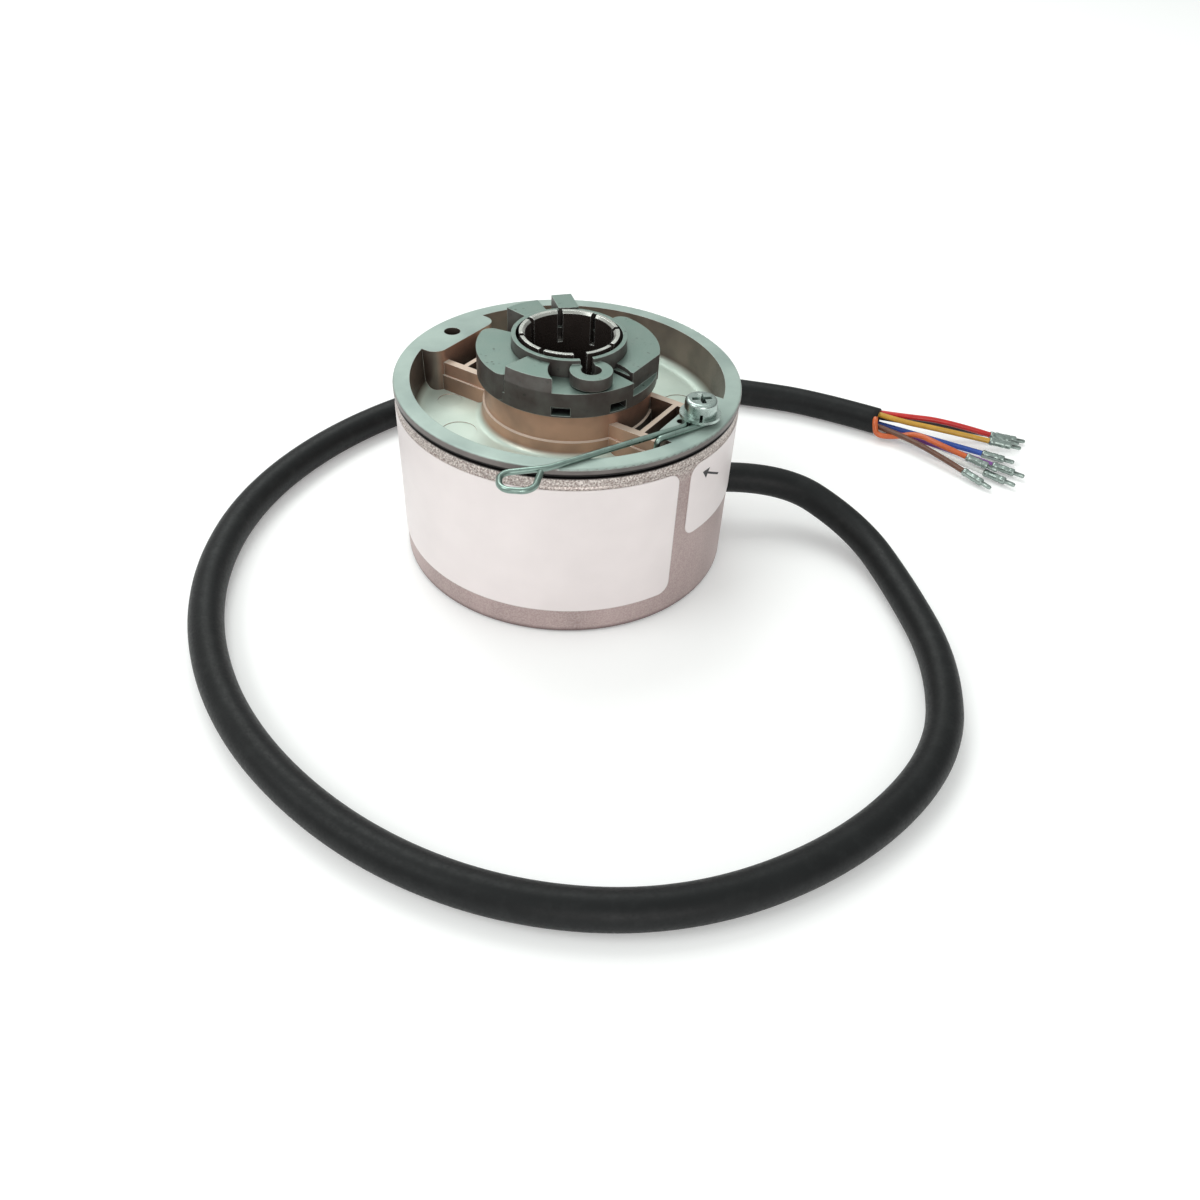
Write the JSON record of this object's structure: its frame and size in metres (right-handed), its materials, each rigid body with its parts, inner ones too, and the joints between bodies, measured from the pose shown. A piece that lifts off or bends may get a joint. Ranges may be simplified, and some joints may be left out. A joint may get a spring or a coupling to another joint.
{
  "type": "incremental rotary encoder",
  "caption": "Round hollow shaft rotary encoder with a clamp collar, a spring wire torque arm, bare labels and a flying lead with stripped cores.",
  "frame": {"origin": "centre of the flat base of the can", "axes": "+Z along the shaft, out of the mounting flange; the spring wire arm faces -Y"},
  "size_m": [0.1656, 0.1464, 0.0414],
  "materials": {
    "cast_aluminium": "satin",
    "can_metal": "satin",
    "seal_rubber": "matte",
    "shaft_steel": "satin",
    "clamp_metal": "satin",
    "bearing_steel": "polished",
    "cage_plastic": "matte",
    "zinc_steel": "bright",
    "spring_steel": "bright",
    "board_laminate": "matte",
    "chip_plastic": "matte",
    "disc_film": "glossy",
    "hub_metal": "satin",
    "label_film": "matte",
    "cable_jacket": "matte",
    "ferrule_tin": "bright",
    "core_black": "satin",
    "core_red": "satin",
    "core_yellow": "satin",
    "core_orange": "satin",
    "core_brown": "satin",
    "core_white": "satin",
    "core_violet": "satin",
    "core_blue": "satin"
  },
  "bodies": {
    "housing": {"flange_housing": "cast_aluminium", "rear_cover": "can_metal", "cover_seal": "seal_rubber", "front_outer_race": "bearing_steel", "rear_outer_race": "bearing_steel", "preload_washer": "spring_steel", "bearing_shield": "shaft_steel", "light_source": "chip_plastic", "sensor_block": "chip_plastic", "circuit_board": "board_laminate", "board_screws": "zinc_steel", "board_connector": "cage_plastic", "cable_grommet": "seal_rubber", "cable_clamp": "zinc_steel", "cable_jacket": "cable_jacket", "inner_harness": "core_white", "wire_ferrules": "ferrule_tin", "torque_wire": "spring_steel", "flat_washer": "zinc_steel", "spring_washer": "zinc_steel", "lug_screw": "zinc_steel", "main_label": "label_film", "arrow_label": "label_film", "core_black": "core_black", "core_red": "core_red", "core_yellow": "core_yellow", "core_orange": "core_orange", "core_brown": "core_brown", "core_white": "core_white", "core_violet": "core_violet", "core_blue": "core_blue"},
    "shaft": {"hollow_shaft": "shaft_steel", "clamp_ring": "clamp_metal", "front_inner_race": "bearing_steel", "rear_inner_race": "bearing_steel", "bearing_spacer": "shaft_steel", "retaining_ring": "spring_steel", "disc_hub": "hub_metal", "code_disc": "disc_film"},
    "collar": {"clamp_collar": "clamp_metal"},
    "front_ball_set": {"front_balls": "bearing_steel", "front_cage": "cage_plastic"},
    "rear_ball_set": {"rear_balls": "bearing_steel", "rear_cage": "cage_plastic"}
  },
  "joints": [
    {"name": "shaft_spin", "type": "hinge", "parent": "housing", "child": "shaft", "pos_m": [0, 0, 0.03], "axis": [0, 0, 1], "continuous": true},
    {"name": "collar_turn", "type": "hinge", "parent": "shaft", "child": "collar", "pos_m": [0, 0, 0.036], "axis": [0, 0, 1], "range_deg": [-5, 5]},
    {"name": "front_ball_orbit", "type": "hinge", "parent": "housing", "child": "front_ball_set", "pos_m": [0, 0, 0.0303], "axis": [0, 0, 1], "continuous": true},
    {"name": "rear_ball_orbit", "type": "hinge", "parent": "housing", "child": "rear_ball_set", "pos_m": [0, 0, 0.0203], "axis": [0, 0, 1], "continuous": true}
  ],
  "couplings": [
    {"joint": "front_ball_orbit", "follows": "shaft_spin", "ratio": 0.4442},
    {"joint": "rear_ball_orbit", "follows": "shaft_spin", "ratio": 0.4442}
  ]
}
